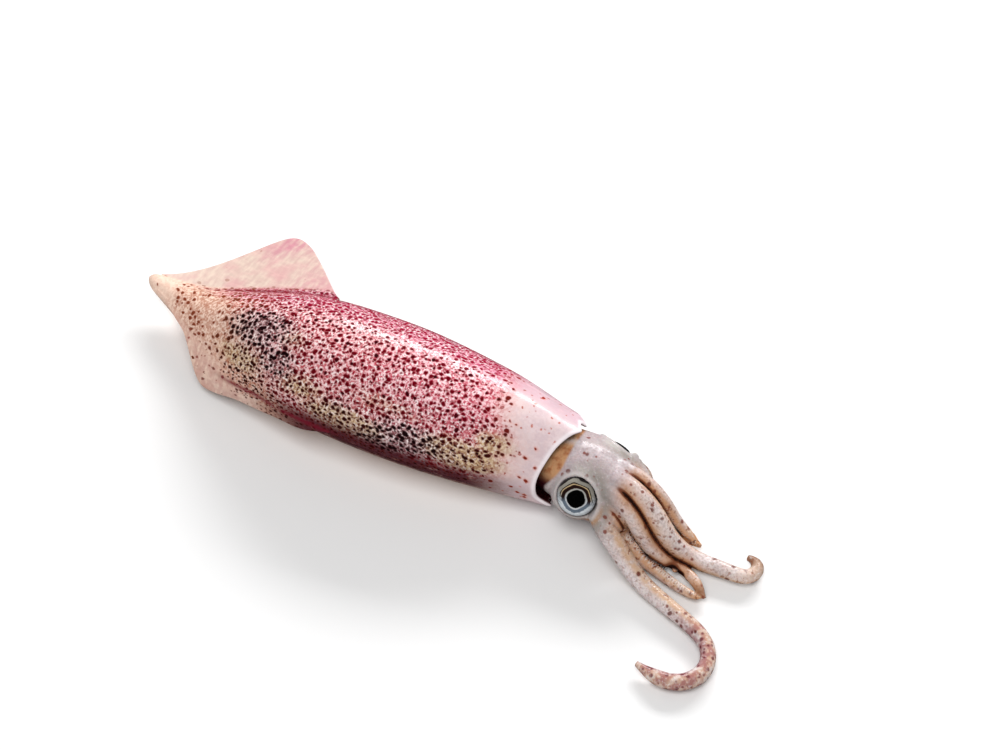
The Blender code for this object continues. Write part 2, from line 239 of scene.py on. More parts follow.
def up_flank(fin, place):
    """Degrees up the flank on a fin's side."""
    y, z = middle(place.x)
    return degrees(atan2((place.z - z) / FLATTENING, fin.side * (place.y - y)))


def fin_place(fin, x, share):
    """Top of the fin at a share of its reach, the direction through it, and its thickness."""
    out = share * max(along(fin.reach, x), FIN_LEAST_REACH)
    y, z = middle(x)
    width = half_width(x)
    root, root_droop, edge_droop = fin_hang(fin, x)
    y += fin.side * width * cos(radians(root))
    z += width * FLATTENING * sin(radians(root))
    bend = (edge_droop - root_droop) * out / FIN_BEND_REACH
    for i in range(FIN_BENDS):
        droop = radians(root_droop + bend * (i + 0.5) / FIN_BENDS)
        y += fin.side * cos(droop) * out / FIN_BENDS
        z -= sin(droop) * out / FIN_BENDS
    droop = radians(root_droop + bend)
    through = Vector((0, fin.side * sin(droop), cos(droop)))
    thickest = min(2 * width * sin(pi / AROUND), FIN_ROOT)
    thickness = thickest + (min(FIN_THICKNESS, thickest) - thickest) * ease(0, 0.25, share)
    thickness += (min(FIN_EDGE, thickest) - thickness) * ease(0.55, 1.0, share)
    return Vector((x, y, z)) + through * FIN_EDGE / 2, through, thickness


# Before the fins grow out, the rings' points slide round the body, so that one row of faces
# follows the right fin's root down the flank. The slide fades out over the back, under the
# belly and towards the neck.
SLIDE_OVER, SLIDE_UNDER = 110.0, 140.0
SLIDE_END = (86.0, 126.0)
mesh = bmesh.from_edit_mesh(mantle.data)
right_fin = FINS[1]
for vert in mesh.verts:
    place = vert.co / MM - TAIL
    y, z = middle(place.x)
    beyond = (up_flank(right_fin, place) - right_fin.rear.root + 180) % 360 - 180
    lowering = (fin_hang(right_fin, place.x)[0] - right_fin.rear.root) * (1 - ease(*SLIDE_END, place.x))
    slide = radians(lowering) * ease(SLIDE_OVER if beyond > 0 else SLIDE_UNDER, 0, abs(beyond))
    across, upright = place.y - y, (place.z - z) / FLATTENING
    vert.co = at(place.x, y + across * cos(slide) + upright * sin(slide),
                 z + (upright * cos(slide) - across * sin(slide)) * FLATTENING)
bmesh.update_edit_mesh(mantle.data)

for fin in FINS:
    select_none("FACE")
    mesh = bmesh.from_edit_mesh(mantle.data)
    for face in mesh.faces:
        place = face.calc_center_median() / MM - TAIL
        from_root = abs(up_flank(fin, place) - fin_hang(fin, place.x)[0])
        face.select_set(bool(from_root < 180 / AROUND and fin.start < place.x < fin.end))
    bmesh.update_edit_mesh(mantle.data)
    for row in range(1, FIN_ROWS + 1):
        share = 1 - (1 - row / FIN_ROWS) ** FIN_ROW_CROWDING
        bpy.ops.mesh.extrude_region_move()
        mesh = bmesh.from_edit_mesh(mantle.data)
        for vert in [vert for vert in mesh.verts if vert.select]:
            place = vert.co / MM - TAIL
            if row == 1:
                above = up_flank(fin, place) > fin_hang(fin, place.x)[0]
            else:
                point, through, thickness = fin_place(fin, place.x, last_share)
                above = (place - point).dot(through) > -thickness / 2
            point, through, thickness = fin_place(fin, place.x, share)
            if not above:
                point -= through * thickness
            vert.co = at(*point)
        bmesh.update_edit_mesh(mantle.data)
        last_share = share
close_mesh()
apply_modifier(mantle, "SUBSURF", levels=2, render_levels=2)


# Unevenness of the soft body: its free rim stands forward in points, with a small hook at its
# upper edge where the skin curls over, and its belly is pressed flat where it rests.
# how far the rim stands forward, as (degrees from the top, distance)
RIM_REACH = ((0, 1.2), (22, -1.8), (55, -3.9), (100, -4.9), (118, -3.9), (134, -0.3), (146, -1.6),
             (180, -3.0))
RIM_TURN = 15.0             # degrees that its top is turned to the right side
RIM_BLEND = 30.0
HOOK_TURN, HOOK_WIDTH, HOOK_REACH, HOOK_CURL = 49.0, 7.0, 2.2, 2.4
LOBE_TURN, LOBE_WIDTH, LOBE_RISE = 86.0, 9.0, 0.5


def read_places(piece):
    """The piece's points as rows of millimetres from the tail."""
    flat = np.empty(len(piece.data.vertices) * 3, np.float32)
    piece.data.vertices.foreach_get("co", flat)
    return flat.reshape(-1, 3).astype(float) / MM - np.array(TAIL)


def write_places(piece, places):
    """Moves the piece's points, sets down what is under the ground, and smooths the shading."""
    places[:, 2] = np.maximum(places[:, 2], 0.0)
    flat = ((places + np.array(TAIL)) * MM).astype(np.float32).ravel()
    piece.data.vertices.foreach_set("co", flat)
    piece.data.update()
    piece.data.shade_smooth()


def around_body(places):
    """Degrees up from the left side, from -90 to 270, and the distance out as a share of the width."""
    y, z = middle(places[:, 0])
    across, upright = places[:, 1] - y, (places[:, 2] - z) / FLATTENING
    turn = np.degrees(np.arctan2(upright, across))
    return np.where(turn < -90, turn + 360, turn), np.hypot(across, upright) / half_width(places[:, 0])


places = read_places(mantle)
length = places[:, 0].copy()
turn, out = around_body(places)
# the wall inside the opening, which is painted dark as shade
inside = ease(0.985, 0.955, out) * ease(128, 131, length)
free_edge = ease(148.7, 149.8, length) * (1 - ease(0.97, 0.93, out))
from_top = np.abs((turn - 90 + RIM_TURN + 180) % 360 - 180)
places[:, 0] += along(RIM_REACH, from_top) * ease(LENGTH - RIM_BLEND, LENGTH, length)
hook = np.exp(-((turn - HOOK_TURN) / HOOK_WIDTH) ** 2) * ease(LENGTH - 7, LENGTH, length)
places[:, 0] += HOOK_REACH * hook
places[:, 2] -= HOOK_CURL * hook * ease(LENGTH - 2, LENGTH + 1, length)
lobe = np.exp(-((turn - LOBE_TURN) / LOBE_WIDTH) ** 2) * ease(LENGTH - 16, LENGTH, length)
places[:, 2] += LOBE_RISE * lobe
write_places(mantle, places)


# Mantle skin: thin and wet over white flesh. It is cream at the tail and the rim and flushed
# pink along the back, with olive and dark patches, and it is full of small pigment spots.
# Painted shade darkens its lower flank, its far edge and the inside of its opening.
class Value:
    """One value of a material, so that its pattern can be written as sums and products."""

    def __init__(self, tree, socket=None):
        self.tree = tree
        self.socket = socket

    def node(self, kind, settings=None, sockets=None, out=0):
        """Adds a node, sets it, links or fills its sockets, and gives one of its outputs."""
        node = self.tree.nodes.new("ShaderNode" + kind)
        for name, value in (settings or {}).items():
            setattr(node, name, value)
        for name, value in (sockets or {}).items():
            if isinstance(value, Value):
                self.tree.links.new(value.socket, node.inputs[name])
            else:
                node.inputs[name].default_value = value
        return Value(self.tree, node.outputs[out])

    def beside(self, name):
        """Another output of the node that this value comes from."""
        return Value(self.tree, self.socket.node.outputs[name])

    def maths(self, operation, first, second):
        return self.node("Math", {"operation": operation}, {0: first, 1: second})

    def __add__(self, other):
        return self.maths("ADD", self, other)

    def __sub__(self, other):
        return self.maths("SUBTRACT", self, other)

    def __rsub__(self, other):
        return self.maths("SUBTRACT", other, self)

    def __mul__(self, other):
        return self.maths("MULTIPLY", self, other)

    def between(self, low, high):
        """0 where the value is low, 1 where it is high, smooth between."""
        return self.node("MapRange", {"interpolation_type": "SMOOTHSTEP"},
                         {"Value": self, "From Min": low, "From Max": high})

    def tint(self, first, second):
        """The first colour where the value is 0, the second where it is 1."""
        first, second = [colour if isinstance(colour, Value) else display(*colour)
                         for colour in (first, second)]
        return self.node("Mix", {"data_type": "RGBA"}, {0: self, 6: first, 7: second}, out=2)


def display(red, green, blue):
    """A colour given as a display shows it, 0 to 255, as the light it stands for."""
    shares = [value / 255 for value in (red, green, blue)]
    return [((s + 0.055) / 1.055) ** 2.4 if s > 0.04045 else s / 12.92 for s in shares] + [1.0]


def coats(colour, *layers):
    """A colour with others laid over it in turn, each as (how much of it, the colour)."""
    for amount, over in layers:
        colour = amount.tint(colour, over)
    return colour


def new_skin(name):
    """A material with nothing in it but its shader, and a value to start its pattern from."""
    material = bpy.data.materials.new(name)
    material.use_nodes = True
    return material, Value(material.node_tree)


def finish_skin(material, **values):
    """Links the patterns to the shader, and sets on it what is the same all over the surface."""
    shader = material.node_tree.nodes["Principled BSDF"]
    for name, value in values.items():
        socket = shader.inputs[name.replace("_", " ")]
        if isinstance(value, Value):
            material.node_tree.links.new(value.socket, socket)
        else:
            socket.default_value = value


def read_amounts(skin, names):
    """The amounts that are kept on the piece, as values of its material."""
    return [skin.node("Attribute", {"attribute_name": name}, out="Fac") for name in names]


def read_place(skin, name):
    return skin.node("Attribute", {"attribute_name": name}, out="Vector")


def grain(place, size, detail, distortion=0.0):
    """Cloudy unevenness, so coarse in millimetres, around one half."""
    return place.node("TexNoise", {}, {"Vector": place, "Scale": 1 / (size * MM), "Detail": detail,
                                       "Distortion": distortion}, out="Fac")


def stretched(place, along_share, across_share, size, detail):
    """Cloudy unevenness drawn out along the body, or across it, by the share its scale is cut to."""
    drawn = place.node("Mapping", {}, {"Vector": place, "Scale": (along_share, across_share, 1.0)})
    return grain(drawn, size, detail)


def stray(place, size, amount):
    """The place, moved a little this way and that, so that round spots come out uneven."""
    wander = place.node("TexNoise", {}, {"Vector": place, "Scale": 1 / (size * MM), "Detail": 1.0},
                        out="Color")
    centred = place.node("VectorMath", {"operation": "SUBTRACT"}, {0: wander, 1: (0.5, 0.5, 0.5)})
    scaled = place.node("VectorMath", {"operation": "SCALE"}, {0: centred, "Scale": amount * MM})
    return place.node("VectorMath", {"operation": "ADD"}, {0: place, 1: scaled})


def cells(place, spacing, flat=True, spread=1.0, out="Distance"):
    """Cells about so far apart in millimetres: the distance to each one's middle, or its own colour."""
    return place.node("TexVoronoi", {"voronoi_dimensions": "2D" if flat else "3D"},
                      {"Vector": place, "Scale": 1 / (spacing * MM), "Randomness": spread}, out=out)


def spots(place, spacing, smallest, largest, amount, flat=True):
    """Pigment spots about so far apart and so big, in millimetres, on a share of the places.

    Gives how deep inside a spot a place is, in spacings, less than 0 outside; and a number
    for each spot from 0 to 1, for its own colour."""
    away = cells(place, spacing, flat, 0.85)
    luck = place.node("SeparateColor", {}, {0: away.beside("Color")})
    radius = (luck.beside("Green") * (largest - smallest) + smallest) * (0.5 / spacing)
    missing = (luck - amount).between(-0.03, 0.03)
    return radius - away - missing, luck.beside("Blue")


def paint_on(piece, amounts):
    """Keeps named amounts for each point of the piece, for its material to read."""
    for name, amount in amounts.items():
        attribute = piece.data.attributes.new(name, "FLOAT", "POINT")
        attribute.data.foreach_set("value", amount.astype(np.float32))


def keep_place(piece, name, first, second):
    """Keeps a place for each point of the piece, from two distances in millimetres."""
    attribute = piece.data.attributes.new(name, "FLOAT_VECTOR", "POINT")
    rows = np.stack([first, second, 0 * first], 1) * MM
    attribute.data.foreach_set("vector", rows.astype(np.float32).ravel())


def hump(x, start, rise_end, fall_start, end):
    """0 before start and after end, 1 between rise_end and fall_start, smooth between."""
    return ease(start, rise_end, x) * (1 - ease(fall_start, end, x))


def patches(x, turn, patch_list):
    """Soft round patches of (place along, degrees round, half length, half width, amount)."""
    amounts = np.zeros(len(x))
    for along_body, round_body, length, width, amount in patch_list:
        far = ((x - along_body) / length) ** 2 + ((turn - round_body) / width) ** 2
        amounts = np.maximum(amounts, amount * np.exp(-far * 0.7))
    return amounts


BACK = 105.0                # degrees round to the middle of the back
FLUSH_END = 133.0           # how far along the flush of the back reaches
DARK_PATCHES = ((49, 110, 10, 17, 1.0), (60, 136, 6, 15, 0.8), (106, 158, 9, 13, 1.0), (100, 172, 9, 8, 0.8),
                (84, 150, 9, 9, 0.35), (58, 22, 10, 10, 0.5), (104, 16, 10, 12, 0.6))
OLIVE_PATCHES = ((124, 157, 11, 13, 1.0), (86, 165, 11, 12, 1.0), (70, 150, 8, 12, 0.55),
                 (46, 148, 9, 14, 0.7), (132, 134, 6, 12, 0.7), (62, 112, 5, 10, 0.4),
                 (98, 136, 12, 8, 0.35))
turn, out = around_body(places)
length = places[:, 0]
aside = turn - BACK
front = FLUSH_END + 6 * ease(100, 125, turn) - 3 * ease(160, 180, turn) - 3 * ease(75, 60, turn)
on_fin = ease(1.06, 1.2, out) * (turn < BACK)
fold = ease(1.0, 1.25, out) * (turn > BACK) * (1 - ease(60, 80, length))
# the skin laid out flat: the place along the body, and round it from the middle of the back
girth = half_width(length) * (np.radians(aside) + np.sign(aside) * np.maximum(out - 1, 0))
keep_place(mantle, "flat_place", length, girth)
# how close the spots stand: thick over the back, thinner at the tail, few by the rim
field = ease(26, 44, length - 0.1 * aside) * (1 - ease(front - 20, front + 7, length))
# fewer spots along the band where the window's reflection runs: partly paler skin, partly a painted
# highlight
field *= 1 - 0.45 * np.exp(-((turn - 72) / 6) ** 2) * ease(70, 105, length)
field *= 1 - ease(68, 104, np.abs(aside))
field = np.maximum(field, 0.4 * hump(length, 3, 18, 60, 80) * (1 - ease(80, 140, np.abs(aside))))
field = np.maximum(field * (1 - ease(front + 3, front + 9, length)), 0.13 * (1 - ease(144, 149, length)))
# the flush over the back, the dark flank bands (skin colour and painted shade) and the fins' root lines
olive = patches(length, turn, OLIVE_PATCHES)
blush = ease(32, 52, length - 0.3 * aside) * (1 - ease(front - 10, front + 7, length))
blush *= hump(aside, -95, -66, 60, 84) * (0.85 + 0.15 * ease(80, 105, length))
# the right band is maroon skin deepened by painted shade along the lower flank; the left one is painted
# shade along the far edge
right_flank_shade = hump(turn, 158, 182, 196, 216) * hump(length, 48, 75, 124, 150)
left_flank_shade = hump(turn, -6, 14, 24, 50) * hump(length, 60, 80, 108, 146)
left_root = np.exp(-((turn - FINS[0].front.root - 4) / 5) ** 2) * hump(length, 12, 26, 64, 78)
left_root *= 1 - ease(1.03, 1.15, out)
# the right fin's root line is painted shade in the crease where the fin folds under the body
right_turn = np.maximum(180 - fin_hang(FINS[1], length)[0], 185)
right_root_shade = np.exp(-((turn - right_turn) / 3.0) ** 2) * hump(length, 34, 46, 78, 88)
fin_edge = 0.5 * ease(38, 52, length - 0.25 * (out - 1)) + ease(24, 34, length) * ease(1.9, 2.9, out)
amounts = {
    "field": field * (1 - 0.9 * on_fin) * (1 - 0.65 * fold),
    "olive": olive * (1 - on_fin),
    "dark": patches(length, turn, DARK_PATCHES) * (1 - on_fin),
    "blush": blush * (1 - 0.8 * olive) * (1 - on_fin),
    "side": np.maximum(right_flank_shade, 0.7 * left_flank_shade) * (1 - on_fin),
    "pale": ease(front - 10, front + 6, length),
    "inside": inside,
    "root": np.maximum(left_root, right_root_shade),
    "tail": ease(52, 26, length + 0.08 * aside),
    # crimson skin beyond the back, deepened by painted shade towards the far edge
    "ruddy_and_far_shade": ease(84, 60, turn) * (1 - ease(38, -10, turn) * 0.85) * ease(18, 40, length),
    "fin": on_fin,
    "fold": fold,
    "free_edge": free_edge,
    "fin_edge": on_fin * fin_edge,
}
paint_on(mantle, {name: np.clip(amount, 0, 1) for name, amount in amounts.items()})

# light and shade make the net of the skin between the spots. Each spot has a soft edge and a
# darker core, and thin is the see-through skin of the fins.
material, skin = new_skin("mantle_skin")
place = skin.node("TexCoord", out="Object")
flat = read_place(skin, "flat_place")
field, olive, dark, blush, side, pale, inside, root, tail, ruddy_and_far_shade, fin, fold, free_edge, fin_edge = \
    read_amounts(skin, amounts)
broad = grain(place, 14, 3.0)
mottle = grain(place, 3.4, 3.0)
fleck = grain(place, 0.8, 1.0, 0.4)
haze = grain(place, 1.0, 1.5, 0.5)
large, large_luck = spots(stray(flat, 2.6, 1.5), 1.95, 0.5, 1.3, field)
large = tail * 0.06 + dark * 0.05 + (mottle - 0.5) * 0.3 + large
small, _ = spots(stray(flat, 1.4, 1.0), 1.25, 0.3, 0.85, field * (1 - tail * 0.85) * 0.8)
small = dark * 0.14 + small
tile = skin.node("SeparateColor", {}, {0: cells(stray(flat, 1.2, 0.8), 0.9, out="Color")})
yellow = (olive + mottle * 0.5 - 0.25).between(0.15, 0.6)
reddish = blush * (1 - yellow * 0.8)
blackened = dark.between(0.15, 0.5)
core = large.between(-0.06, 0.08)
light = coats(
    broad.between(0.35, 0.65).tint((226, 186, 164), (236, 208, 192)),
    (blush, (253, 206, 212)),
    (yellow, (224, 196, 156)),
    (tail * 0.85, (252, 220, 200)),
    (dark * 0.8, (198, 172, 170)),
    # towards the far edge the ground deepens to crimson: partly skin colour, partly painted shade
    (ruddy_and_far_shade * 0.75, (218, 128, 158)),
    (pale, ruddy_and_far_shade.tint((228, 207, 209), (218, 186, 196))))
shade = coats(
    blush.tint((182, 114, 88), (186, 36, 68)),
    (yellow, (158, 112, 80)),
    (dark * 0.8, (78, 38, 42)),
    # crimson deepened by painted shade towards the far edge
    (ruddy_and_far_shade * 0.8, (170, 32, 76)),
    (pale * 0.8, (216, 160, 150)))
net = (haze.between(0.36, 0.6) * 0.8 + tile * 0.25) * (field.between(0.0, 0.6) * 0.95 + tail * 0.12)
flecked = fleck.between(0.54, 0.66) * field * (1 - tail * 0.6)
white_ring = large.between(-0.32, -0.22) * (1 - large.between(-0.2, -0.12)) * field
streaks = stretched(flat, 0.3, 1.0, 1.8, 3.0)
spot_colour = coats(
    reddish.tint((92, 34, 24), (140, 6, 34)),
    (tail, (160, 84, 56)),
    (pale * 0.9, (196, 92, 62)),
    (blackened * 0.9, (46, 12, 14)))
core_colour = coats(
    reddish.tint((34, 5, 4), large_luck.between(0.7, 0.9).tint((100, 0, 14), (50, 0, 6))),
    (ruddy_and_far_shade * 0.75, (160, 14, 54)),
    (tail, (124, 58, 38)),
    (pale * 0.7, (150, 56, 40)),
    (blackened, (18, 3, 5)))
rays = stretched(flat, 1.0, 0.3, 1.6, 4.0)
thin = coats(
    rays.between(0.2, 0.8).tint((224, 204, 188), (208, 178, 168)),
    (broad.between(0.45, 0.62) * 0.6, (214, 160, 162)),
    (fin_edge * rays.between(0.15, 0.7) * 0.75, (204, 126, 148)))
cloudy = (mottle * 0.6 + fleck * 0.4).between(0.42, 0.62)
colour = coats(
    net.tint(light, shade),
    (flecked * 0.85, blush.tint((236, 216, 200), (255, 240, 241))),
    (white_ring * 0.3, (255, 238, 238)),
    (large.between(-0.5, -0.1) * pale * 0.4, (230, 158, 144)),
    # painted shade: the flank bands darken to deep maroon
    (side * (mottle * 0.5 + streaks * 0.5).between(0.15, 0.45) * 0.95, (74, 16, 36)),
    (small.between(-0.18, 0.1) * 0.85, spot_colour),
    (large.between(-0.2, 0.06) * 0.85, spot_colour),
    (core * 0.97, core_colour),
    (fin * (1 - large.between(-0.2, 0.1) * 0.45), thin),
    (fold * rays.between(0.35, 0.6) * 0.45, (192, 126, 118)),
    # the crimson lines along the fins' roots; the right one is painted shade in its crease
    (root * mottle.between(0.2, 0.5) * 0.85, (122, 20, 42)),
    (pale * cloudy * (1 - core) * 0.45, (206, 182, 190)),
    # painted shade: the wall inside the opening is dark maroon
    (inside, (70, 20, 24)),
    (free_edge * 0.9, (250, 240, 243)))
relief = grain(place, 1.8, 4.0) * 0.8 + core * 0.2
bump = skin.node("Bump", {}, {"Height": relief, "Strength": 0.4, "Distance": 0.4 * MM}, out="Normal")
wet = (streaks.between(0.34, 0.56) * 0.65 + 0.35) * (1 - core * 0.97)
finish_skin(material, Base_Color=colour, Roughness=mottle * 0.2 + 0.4, Normal=bump, Coat_Weight=wet,
            Coat_Roughness=0.23, Coat_IOR=1.5, Specular_IOR_Level=0.0)
mantle.data.materials.append(material)
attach(mantle, "root")
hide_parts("mantle")


# Head: a short neck that goes into the mantle, a rounded head with an eye at each side, and
# the crown from which eight arms and two tentacles grow. One skin covers them all, so they
# are modelled apart and then joined into one surface.
HEAD_ROLL, HEAD_ROLL_X = 9.0, 161.0
HEAD_SWAY = ((128, 1.6), (142, 2.2), (152, 2.0), (161, 0.9), (168, -0.6), (175, -2.2))
HEAD_WIDTHS = ((130, 8.4), (142, 10.0), (153, 11.8), (161, 12.6), (168, 11.0), (175, 9.2))
HEAD_HEIGHTS = ((130, 8.2), (142, 9.4), (153, 11.0), (161, 12.0), (168, 11.2), (175, 10.0))
HEAD_MIDDLE = ((130, 12.6), (153, 13.0), (168, 13.0), (175, 12.4))
HEAD_START, HEAD_END = 130.0, 175.0
HEAD_RING_STEP = 2.5
HEAD_AROUND = 32


def head_middle(x):
    return along(HEAD_SWAY, x), along(HEAD_MIDDLE, x)


start = at(HEAD_START, *head_middle(HEAD_START))
head = start_tube("head_and_arms", HEAD_AROUND, along(HEAD_WIDTHS, HEAD_START), start)
before = HEAD_START
for x in np.linspace(HEAD_START, HEAD_END, round((HEAD_END - HEAD_START) / HEAD_RING_STEP))[1:]:
    here, there = at(before, *head_middle(before)), at(x, *head_middle(x))
    wider = along(HEAD_WIDTHS, x) / along(HEAD_WIDTHS, before)
    taller = along(HEAD_HEIGHTS, x) / along(HEAD_HEIGHTS, before)
    next_ring(here, there, (1, wider, taller))
    before = x
close_end()
close_mesh()
lean = Matrix.Rotation(radians(HEAD_ROLL), 4, "X")
pivot = Matrix.Translation(at(0, 0, along(HEAD_MIDDLE, HEAD_ROLL_X)))
head.data.transform(pivot @ lean @ pivot.inverted())
apply_modifier(head, "SUBSURF", levels=1, render_levels=1)


# Arms and tentacles: tapering muscular limbs. Each is modelled straight, and then bent along
# the way it lies, from the crown of the head down to the ground.
CROWN_X, CROWN_Z = 166.0, 13.2
CROWN_WIDTH, CROWN_HEIGHT = 10.4, 9.2
ARM_STEP = 1.5
ARM_AROUND = 16
LEAST_RUN = 0.22
TIP_START, TIP_LOSS = 0.9, 0.75
CLUB_SWELL = (0.62, 0.8, 0.5)       # shares of a tentacle's length, and what its radius gains
CLUB_FADE = (0.88, 1.0, 0.3)        # the same, and what it loses
# crown: degrees from straight up to the right side. root and tip: the radius there. heading:
# degrees to the left of straight ahead. turns: (from, to, degrees to the left). drop: where along
# the arm it starts and ends to come down. rest: the height of its middle from there on.
Arm = namedtuple("Arm", "name crown length root tip heading turns drop rest")
ARMS = (
    Arm("arm_1_left", -28, 34, 2.5, 1.4, -10, ((2, 14, 5), (27, 37, -15)), (6, 37), 5.0),
    Arm("arm_1_right", 3, 63, 3.9, 2.0, -6, ((2, 12, -4), (20, 34, 15), (50, 67, 210)), (4, 40), 3.0),
    Arm("arm_2_right", 20, 48, 3.4, 1.4, -17, ((12, 24, 16), (34, 46, -40)), (2, 34), 2.6),
    Arm("arm_3_right", 114, 38, 2.8, 1.3, -8, ((6, 18, -8), (24, 40, 13)), (0, 18), 2.6),
    Arm("arm_4_right", 146, 29, 2.7, 1.3, -10, ((4, 20, -4),), (0, 10), 2.6),
    Arm("arm_4_left", 182, 28, 2.7, 1.3, -10, ((12, 28, -6),), (0, 10), 2.6),
    Arm("arm_3_left", 222, 31, 2.8, 1.3, -12, ((4, 16, -6), (20, 31, 10)), (0, 14), 2.6),
    Arm("arm_2_left", -66, 31, 2.5, 1.2, -14, ((2, 12, -16), (22, 31, 8)), (0, 24), 5.0),
    Arm("tentacle_right", 72, 84, 3.3, 1.8, -51, ((0, 10, 31), (20, 38, 3), (43, 84, -177)), (0, 28), 3.0),
    Arm("tentacle_left", -100, 36, 2.4, 1.5, 10, ((4, 14, -38), (26, 36, 14)), (0, 16), 2.6),
)


def arm_path(arm):
    """Points along an arm, from its root on the crown to its tip on the ground."""
    round_crown = radians(arm.crown + HEAD_ROLL)
    x, y = CROWN_X, -CROWN_WIDTH * sin(round_crown)
    root_z = CROWN_Z + CROWN_HEIGHT * cos(round_crown)
    count = round(arm.length / ARM_STEP)
    step = arm.length / count
    path = []
    for i in range(count + 1):
        s = i * step
        z = root_z + (arm.rest - root_z) * ease(*arm.drop, s)
        if path:
            fall = z - path[-1][2]
            run = sqrt(max(step * step - fall * fall, (LEAST_RUN * step) ** 2))
            heading = arm.heading + sum(turn * ease(start, end, s) for start, end, turn in arm.turns)
            x += run * cos(radians(heading))
            y += run * sin(radians(heading))
        path.append((x, y, z))
    return path


def arm_radius(arm, part):
    """Radius at a part of the length, from 0 at the root to 1 at the rounded tip."""
    radius = arm.root + (arm.tip - arm.root) * part
    if arm.name.startswith("tentacle"):
        start, end, gain = CLUB_SWELL
        radius += gain * ease(start, end, part)
        start, end, loss = CLUB_FADE
        radius -= loss * ease(start, end, part)
    return radius * sqrt(1 - TIP_LOSS * ease(TIP_START, 1.0, part))


def bend_along(piece, arm):
    """Bends a straight limb, modelled along X, to the way the arm lies."""
    path = arm_path(arm)
    route = bpy.data.curves.new(arm.name + "_route", "CURVE")
    route.dimensions = "3D"
    route.twist_mode = "Z_UP"
    spline = route.splines.new("POLY")
    spline.points.add(len(path) - 1)
    for point, place in zip(spline.points, path):
        point.co = (*at(*place), 1.0)
    guide = bpy.data.objects.new(route.name, route)
    bpy.context.scene.collection.objects.link(guide)
    apply_modifier(piece, "CURVE", object=guide, deform_axis="POS_X")
    bpy.data.objects.remove(guide)


def straight_arm(arm):
    """A tapering limb, still round and straight along X."""
    piece = start_tube(arm.name, ARM_AROUND, arm_radius(arm, 0), (0, 0, 0))
    count = round(arm.length / ARM_STEP)
    step = Vector((arm.length / count * MM, 0, 0))
    for i in range(1, count + 1):
        growth = arm_radius(arm, i / count) / arm_radius(arm, (i - 1) / count)
        next_ring(step * (i - 1), step * i, (1, growth, growth))
    close_end()
    close_mesh()
    return piece


limbs = []
for arm in ARMS:
    limb = straight_arm(arm)
    limb.data.transform(Matrix.Rotation(radians(arm.crown + HEAD_ROLL), 4, "X"))
    bend_along(limb, arm)
    limbs.append(limb)


# Funnel: the short muscular nozzle under the neck, which the squid blows water through. It
# grows out of the neck and tapers forwards to a closed end.
FUNNEL = ((146.0, 5.4), (150.0, 5.0), (154.0, 4.4), (158.0, 3.9), (161.0, 3.6))
FUNNEL_RADIUS = 3.2
FUNNEL_TAPER = 0.4


def funnel_radius(x):
    part = (x - FUNNEL[0][0]) / (FUNNEL[-1][0] - FUNNEL[0][0])
    return FUNNEL_RADIUS * (1 - FUNNEL_TAPER * part)


before = FUNNEL[0]
funnel = start_tube("funnel", ARM_AROUND, FUNNEL_RADIUS, at(before[0], 0, before[1]))
for x, z in FUNNEL[1:]:
    growth = funnel_radius(x) / funnel_radius(before[0])
    next_ring(at(before[0], 0, before[1]), at(x, 0, z), (1, growth, growth))
    before = (x, z)
close_end()
close_mesh()


# Eye swellings: the head bulges out round each eyeball, which lies in the bulge with its pupil
# facing outwards.
# heading: degrees left of straight ahead. lift: degrees up from level.
Eye = namedtuple("Eye", "name centre heading lift")
EYES = (Eye("eye_right", Vector((157.4, -6.4, 14.7)), -75.0, 35.0),
        Eye("eye_left", Vector((160.5, 8.0, 13.2)), 75.0, 33.0))
SWELLING_RADIUS = 9.3
SWELLING_BACK = 3.0


def eye_facing(eye):
    heading, lift = radians(eye.heading), radians(eye.lift)
    return Vector((cos(heading) * cos(lift), sin(heading) * cos(lift), sin(lift)))


swellings = []
for eye in EYES:
    bpy.ops.mesh.primitive_uv_sphere_add(
        segments=HEAD_AROUND, ring_count=HEAD_AROUND // 2, radius=SWELLING_RADIUS * MM,
        location=at(*(eye.centre - SWELLING_BACK * eye_facing(eye))))
    swellings.append(open_for_editing(eye.name + "_swelling"))
    close_mesh()


# One flesh: the head, limbs, funnel and swellings grow together, so they are joined under one
# skin that runs smoothly from each to the next. The bubbles that it walls in are left out.
SKIN_GRAIN = 0.5
deselect()
for piece in [head, funnel] + limbs + swellings:
    piece.select_set(True)
bpy.context.view_layer.objects.active = head
bpy.ops.object.join()
apply_modifier(head, "REMESH", mode="VOXEL", voxel_size=SKIN_GRAIN * MM)
bpy.ops.object.mode_set(mode="EDIT")
select_none("VERT")
mesh = bmesh.from_edit_mesh(head.data)
max(mesh.verts, key=lambda vert: vert.co.x).select_set(True)
bpy.ops.mesh.select_linked()
bpy.ops.mesh.select_all(action="INVERT")
bpy.ops.mesh.delete(type="VERT")
bpy.ops.object.mode_set(mode="OBJECT")
apply_modifier(head, "SMOOTH", factor=0.5, iterations=6)


# Creases and eye sockets: where each limb lies against the next, the skin is drawn in to a
# narrow crease. Round each eyeball it sinks, and its edge stands up as a soft lid.
CREASE_WIDTH, CREASE_DEPTH = 0.75, 0.9
CREASE_STARTS = (167.0, 173.0)      # along the body
CREASE_ENDS = (0.78, 0.92)          # shares of a limb's length
CREASE_GAP = 2.0
HOLLOW_WIDTH = 2.7
FAR = 99.0
